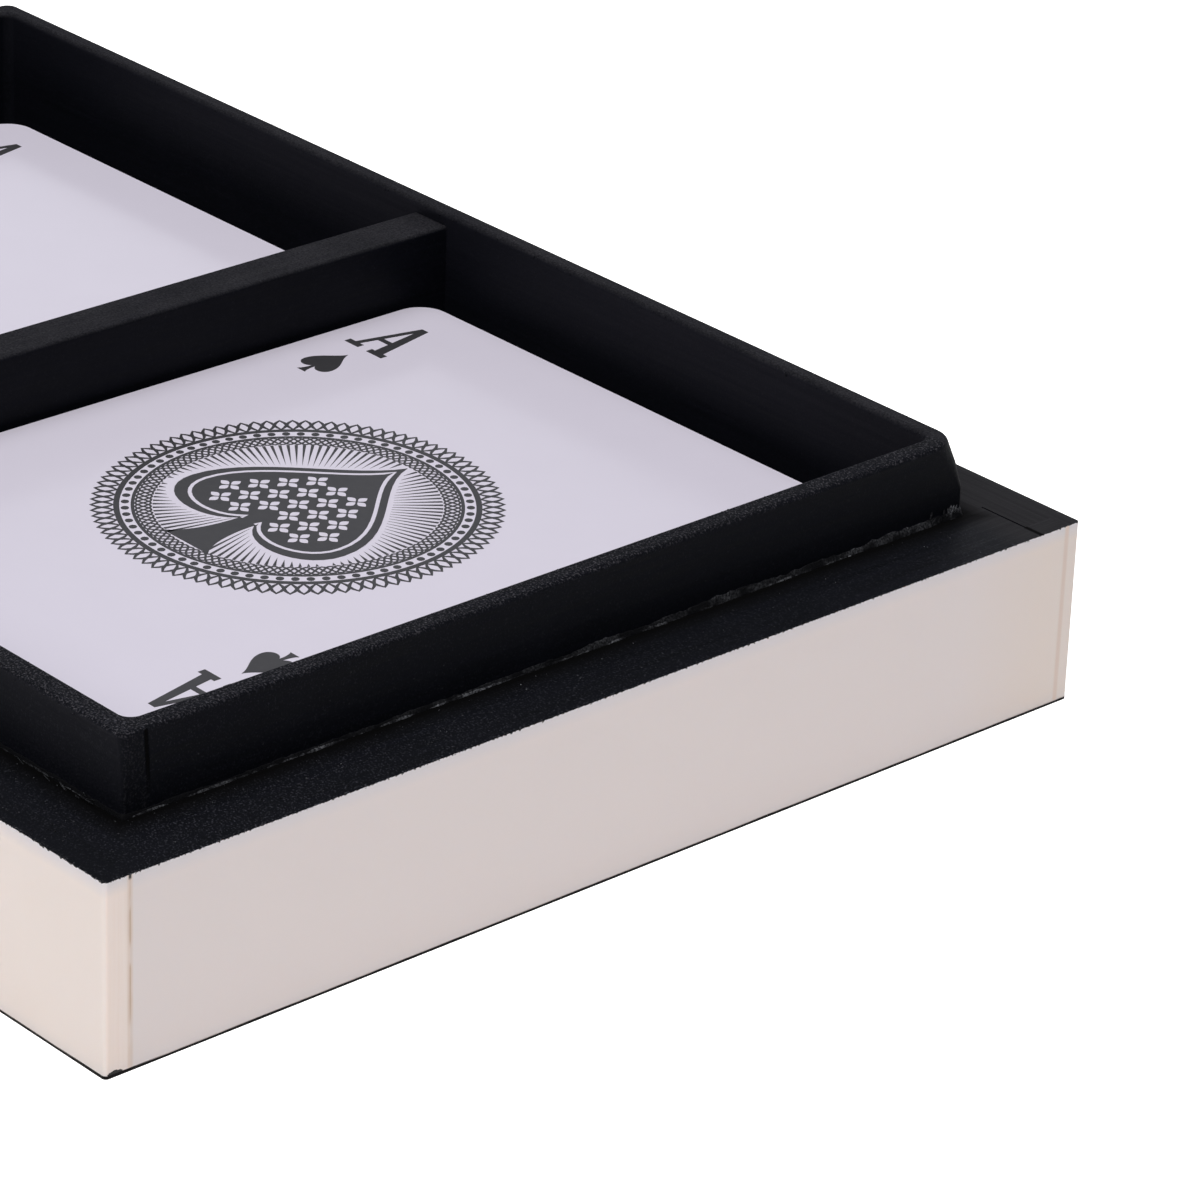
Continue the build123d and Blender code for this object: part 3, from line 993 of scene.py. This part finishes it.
def ribbon(path, width, closed=True):
    """Faces of a line of even width along a path."""
    count = len(path)
    sides = []
    for index, here in enumerate(path):
        before = path[index - 1] if closed or index else here
        after = path[(index + 1) % count] if closed or index < count - 1 else here
        run = Vector((after[0] - before[0], after[1] - before[1])).normalized()
        over = (-run.y * width / 2, run.x * width / 2)
        sides.append(((here[0] + over[0], here[1] + over[1]), (here[0] - over[0], here[1] - over[1])))
    pairs = [(sides[i], sides[(i + 1) % count]) for i in range(count if closed else count - 1)]
    return [[a[0], b[0], b[1], a[1]] for a, b in pairs]


def circle(radius, steps=RING_STEPS):
    """Points round a circle."""
    return [(radius * math.cos(math.tau * i / steps), radius * math.sin(math.tau * i / steps))
            for i in range(steps)]


def bar(x_low, x_high, y_low, y_high):
    """One upright rectangle."""
    return [[(x_low, y_low), (x_high, y_low), (x_high, y_high), (x_low, y_high)]]


print("spade outline has", len(spade(1, 1)[0]), "points")

# %% [markdown]
# Index of the ace
#
# The corner index is a plain slab-serif capital A over a small spade. The left leg is thin and the
# right one heavy, as a broad pen would draw them. A font could make the letter, but a font file
# isn't part of the frame, and the strokes are simple.

# %% Letter and corner mark
LETTER_FOOT = 30.0
LETTER_TOP = 38.5
SERIF = 0.85
PIP_FOOT = (-25.92, 21.45)
PIP_SIZE = (6.4, 4.4)


def letter_a():
    """Capital A at the back left corner of the card, as separate strokes."""
    foot = LETTER_FOOT + SERIF / 2
    heavy_leg = [[(-26.35, LETTER_TOP), (-25.45, LETTER_TOP), (-23.7, foot), (-25.05, foot)]]
    thin_leg = [[(-26.45, LETTER_TOP), (-25.8, LETTER_TOP), (-27.7, foot), (-28.4, foot)]]
    crossbar = bar(-27.5, -24.7, 32.9, 33.6)
    left_serif = bar(-29.15, -26.95, LETTER_FOOT, LETTER_FOOT + SERIF)
    right_serif = bar(-25.6, -23.15, LETTER_FOOT, LETTER_FOOT + SERIF)
    return [heavy_leg, thin_leg, crossbar, left_serif, right_serif]


corner_pip = moved(spade(*PIP_SIZE), *PIP_FOOT)
ace_index = both_corners(letter_a() + [corner_pip])
print("index strokes:", len(ace_index))

# %% [markdown]
# Medallion of the ace
#
# The middle of an ace of spades is traditionally filled with ornament. Here it is a round medallion
# of interlaced lines, like the engine-turned borders on old share papers, with rays of light round
# a large dark spade. Waves round a circle make the lace: shifting one wave a step at a time and
# drawing it again gives the woven look with a single formula. Each ray runs inwards until it comes
# close to the spade.

# %% Lace and beads
LACE_STEPS = 288
DOT_STEPS = 10


def lace(radius, swing, waves, strands, width):
    """Interlaced strands that swing in and out round a circle."""
    shapes = []
    for strand in range(strands):
        shift = math.tau * strand / strands
        path = []
        for step in range(LACE_STEPS):
            turn = math.tau * step / LACE_STEPS
            reach = radius + swing * math.cos(waves * turn + shift)
            path.append((reach * math.cos(turn), reach * math.sin(turn)))
        shapes.append(ribbon(path, width))
    return shapes


def beads(radius, count, size):
    """Row of dots round a circle."""
    dot = [circle(size / 2, DOT_STEPS)]
    return [moved(dot, *place) for place in circle(radius, count)]


print("steps round the lace:", LACE_STEPS)

# %% Spade and rays
SPADE_HEIGHT = 28.4
SPADE_WIDTH = 24.0
SPADE_DROP = 14.2
SHRINK_SHARE = 0.53
CLEAR_SHARE = 1.07
RAYS = 108
RAY_WIDTH = 0.34
RAY_REACH = 14.4
RAY_STEP = 0.1
SHORTEST_RAY = 0.5


def middle_spade(share):
    """Spade in the middle of the card, at a share of its full size."""
    faces = spade(SPADE_HEIGHT * share, SPADE_WIDTH * share)
    return moved(faces, 0, SPADE_HEIGHT * SHRINK_SHARE * (1 - share) - SPADE_DROP)


def inside(point, outline):
    """Whether a point lies inside an outline."""
    crossings = 0
    for a, b in zip(outline, outline[1:] + outline[:1]):
        if (a[1] > point[1]) != (b[1] > point[1]):
            crossings += point[0] < a[0] + (point[1] - a[1]) * (b[0] - a[0]) / (b[1] - a[1])
    return crossings % 2 == 1


def rays():
    """Tapered rays from the border inwards, up to a clear edge round the spade."""
    clear = middle_spade(CLEAR_SHARE)[0]
    shapes = []
    for index in range(RAYS):
        way = Matrix.Rotation(math.tau * (index + 0.5) / RAYS, 2) @ Vector((1, 0))
        inner = RAY_REACH
        while not inside(way * inner, clear):
            inner -= RAY_STEP
        if inner < RAY_REACH - SHORTEST_RAY:
            side = Vector((-way.y, way.x)) * RAY_WIDTH / 2
            ends = (way * RAY_REACH + side, way * RAY_REACH - side, way * inner)
            shapes.append([[tuple(end) for end in ends]])
    return shapes


print("rays round the spade:", len(rays()))

# %% [markdown]
# Flowers in the spade
#
# The dark spade is set with small flowers of four leaves and a fine line inside its edge. There paper
# shows inside the black, so a film of card colour lies above the ink. Cutting holes into the ink
# would be truer but harder to draw, and nobody can see the difference in height.

# %% Flowers and inset line
LEAF_STEPS = 6
LEAF_START = 0.15
FLOWER_LEAF = (1.25, 0.85)
FLOWER_STEP = 3.1
ROW_SHARE = 0.8
FLOWER_SHARE = 0.80
FLOWER_ROWS = range(-6, 7)
INSET_SHARE = 0.88
INSET_WIDTH = 0.4


def leaf(length, width, turn):
    """Pointed leaf that begins close to the origin and points in the direction of turn, in degrees."""
    shares = [step / LEAF_STEPS for step in range(LEAF_STEPS + 1)]
    right = [(LEAF_START + length * share, width / 2 * math.sin(math.pi * share)) for share in shares]
    outline = right + [(x, -y) for x, y in reversed(right[1:-1])]
    way = Matrix.Rotation(math.radians(turn), 2)
    return [[tuple(way @ Vector(point)) for point in outline]]


def flowers():
    """Small flowers of four leaves, wherever there is room inside the spade."""
    field = middle_spade(FLOWER_SHARE)[0]
    shapes = []
    for row in FLOWER_ROWS:
        for column in FLOWER_ROWS:
            place = ((column + row % 2 / 2) * FLOWER_STEP, row * FLOWER_STEP * ROW_SHARE)
            petals = [moved(leaf(*FLOWER_LEAF, turn), *place) for turn in (0, 90, 180, 270)]
            if all(inside(point, field) for petal in petals for point in petal[0]):
                shapes += petals
    return shapes


inset = middle_spade(INSET_SHARE)[0]
inset_line = inset[1 - 2 * CURVE_STEPS:] + inset[:2 * CURVE_STEPS]
paper_marks = [ribbon(inset_line, INSET_WIDTH, closed=False)] + flowers()
print("paper marks:", len(paper_marks))

# %% [markdown]
# Prints of the aces
#
# The right ace gets the medallion, from the outside to the inside: lace, a ring, beads, another ring,
# finer lace, rays and the spade. The left deck shows a plainer ace, with one large spade in its
# middle. Print is never quite in the middle of its card, so each has a shift.

# %% Aces
OUTER_LACE = {"radius": 19.4, "swing": 1.1, "waves": 48, "strands": 2, "width": 0.34}
OUTER_RING = (18.0, 0.6)
BEAD_ROW = {"radius": 17.15, "count": 72, "size": 0.85}
INNER_RING = (16.4, 0.35)
INNER_LACE = {"radius": 15.35, "swing": 0.8, "waves": 30, "strands": 4, "width": 0.24}
PLAIN_SPADE = (22.0, 19.0)
RIGHT_SHIFT = (0.2, 0.5)
LEFT_SHIFT = (1.2, 1.2)
LAYER_GAP = 0.004 * MM
LAYER = INK_STEP * INK_LAYERS + LAYER_GAP


def round_line(radius, width):
    """Round line of even width."""
    return ribbon(circle(radius), width)


medallion = lace(**OUTER_LACE) + [round_line(*OUTER_RING)] + beads(**BEAD_ROW)
medallion += [round_line(*INNER_RING)] + lace(**INNER_LACE) + rays() + [middle_spade(1.0)]
print("shapes of the medallion:", len(medallion))
plain_ace = ace_index + [moved(spade(*PLAIN_SPADE), 0, -PLAIN_SPADE[0] / 2)]
ink_film("right_ace_print", ace_index + medallion, "right_top_card", "right_ace", black_ink, RIGHT_SHIFT)
ink_film("right_ace_paper_marks", paper_marks, "right_top_card", "right_ace", card_stock, RIGHT_SHIFT, LAYER)
ink_film("left_ace_print", plain_ace, "left_top_card", "left_ace", black_ink, LEFT_SHIFT)

# %% [markdown]
# The cards below
#
# When an ace is lifted the next card shows, so each deck has a printed card under its ace: a two of
# spades. The figure is a bent ribbon, and its film is sunk almost flush, because the ace lies on it.

# %% Two of spades
SUNK = -0.8 * INK_THICKNESS
FIGURE_WIDTH = 1.15
LARGE_PIP = (14.0, 12.0)
LARGE_PIP_FOOT = 16.0


def figure_two():
    """The number two at the back left corner, as a bent stroke and a foot."""
    bow = curved([
        [(-27.9, 36.6), (-27.9, 39.4), (-23.7, 39.4), (-23.7, 36.4)],
        [(-23.7, 36.4), (-23.7, 34.4), (-27.0, 33.4), (-27.8, 31.0)],
    ])
    foot = bar(-28.4, -23.2, LETTER_FOOT, LETTER_FOOT + FIGURE_WIDTH)
    return [ribbon(bow, FIGURE_WIDTH, closed=False), foot]


large_pip = moved(spade(*LARGE_PIP), 0, LARGE_PIP_FOOT)
two_print = both_corners(figure_two() + [corner_pip, large_pip])
for side in ("right", "left"):
    ink_film(f"{side}_two_print", two_print, f"{side}_deck_cards", f"{side}_deck", black_ink, (0, 0), SUNK)

# %% [markdown]
# Floor, light and view
#
# The photograph has a pure white ground and very soft light, strongest and warmest from the front. A
# large soft box stands to the front, another hangs overhead, and the white floor throws their light
# back at the white sides. A bright backdrop behind the tray gives the cards and the black edges their
# sheen: it is part of the sky, low down at the back, with a haze above it. The rest of the sky is
# dim, or it would grey the black. Floor and sky are lifted to pure white for the camera alone.

# %% Floor
FLOOR_HALF = 30.0
FLOOR_GLOW = 0.17
SEEN_FLOOR_GLOW = 0.85

floor_mesh = bpy.data.meshes.new("floor")
floor_corners = [(-FLOOR_HALF, -FLOOR_HALF, 0), (FLOOR_HALF, -FLOOR_HALF, 0),
                 (FLOOR_HALF, FLOOR_HALF, 0), (-FLOOR_HALF, FLOOR_HALF, 0)]
floor_mesh.from_pydata(floor_corners, [], [(0, 1, 2, 3)])
floor = bpy.data.objects.new("floor", floor_mesh)
scene.collection.objects.link(floor)
backdrop, tree, shader = new_material("white_paper_backdrop")
seen = add(tree, "LightPath", {}, out="Is Camera Ray")
glow = add(tree, "MapRange", {0: seen, 3: FLOOR_GLOW, 4: SEEN_FLOOR_GLOW})
feed(tree, shader, {"Base Color": linear("#F2F2F2"), "Roughness": 1.0, "Specular IOR Level": 0.0,
                    "Emission Color": (1, 1, 1, 1), "Emission Strength": glow})
floor_mesh.materials.append(backdrop)
print("floor", 2 * FLOOR_HALF, "m wide")

# %% Sky
SKY_FILL = 0.08
HAZE = 0.12
SKY_COLOUR = (0.96, 0.98, 1.06, 1.0)
SEEN_SKY = 1.3
BACKDROP_GLOW = 1.0
BACKDROP_SIDE = (-0.73, 0.68, 0.0)
BACKDROP_TOP = (math.sin(math.radians(21.8)), math.sin(math.radians(23.4)))
HAZE_TOP = (math.sin(math.radians(25)), math.sin(math.radians(38)))

world = bpy.data.worlds.new("studio")
world.use_nodes = True
scene.world = world
tree = world.node_tree
seen = add(tree, "LightPath", {}, out="Is Camera Ray")
gaze = add(tree, "TexCoord", {}, out="Generated")
height = add(tree, "SeparateXYZ", {0: gaze}, out="Z")
behind = add(tree, "VectorMath", {0: gaze, 1: BACKDROP_SIDE}, out="Value", operation="DOT_PRODUCT")
rear = add(tree, "MapRange", {0: behind, 1: 0.3, 2: 0.7})
fill = SKY_FILL
for edge, strength in ((BACKDROP_TOP, BACKDROP_GLOW - HAZE - SKY_FILL), (HAZE_TOP, HAZE)):
    below = add(tree, "MapRange", {0: height, 1: edge[0], 2: edge[1], 3: strength, 4: 0.0})
    fill = add(tree, "Math", {0: below, 1: rear, 2: fill}, operation="MULTIPLY_ADD")
fill = add(tree, "MapRange", {0: seen, 3: fill, 4: SEEN_SKY})
feed(tree, tree.nodes["Background"], {"Color": SKY_COLOUR, "Strength": fill})
print("sky nodes:", len(tree.nodes))

# %% Soft boxes
BOX_DISTANCE = 1.2


def soft_box(name, direction, size, power, colour):
    """Square soft light that faces the tray."""
    light = bpy.data.objects.new(name, bpy.data.lights.new(name, "AREA"))
    light.data.size = size
    light.data.energy = power
    light.data.color = colour
    light.location = direction.normalized() * BOX_DISTANCE
    light.rotation_mode = "QUATERNION"
    light.rotation_quaternion = direction.to_track_quat("Z", "Y")
    scene.collection.objects.link(light)
    print(f"{name}: {power} W from {BOX_DISTANCE} m")


soft_box("front_soft_box", Vector((0.41, -0.56, 0.72)), size=0.9, power=8.6, colour=(1.0, 0.96, 0.91))
soft_box("top_soft_box", Vector((-0.1, 0.15, 1.0)), size=1.0, power=7.2, colour=(1.0, 0.99, 1.0))
scene.view_settings.view_transform = "Standard"
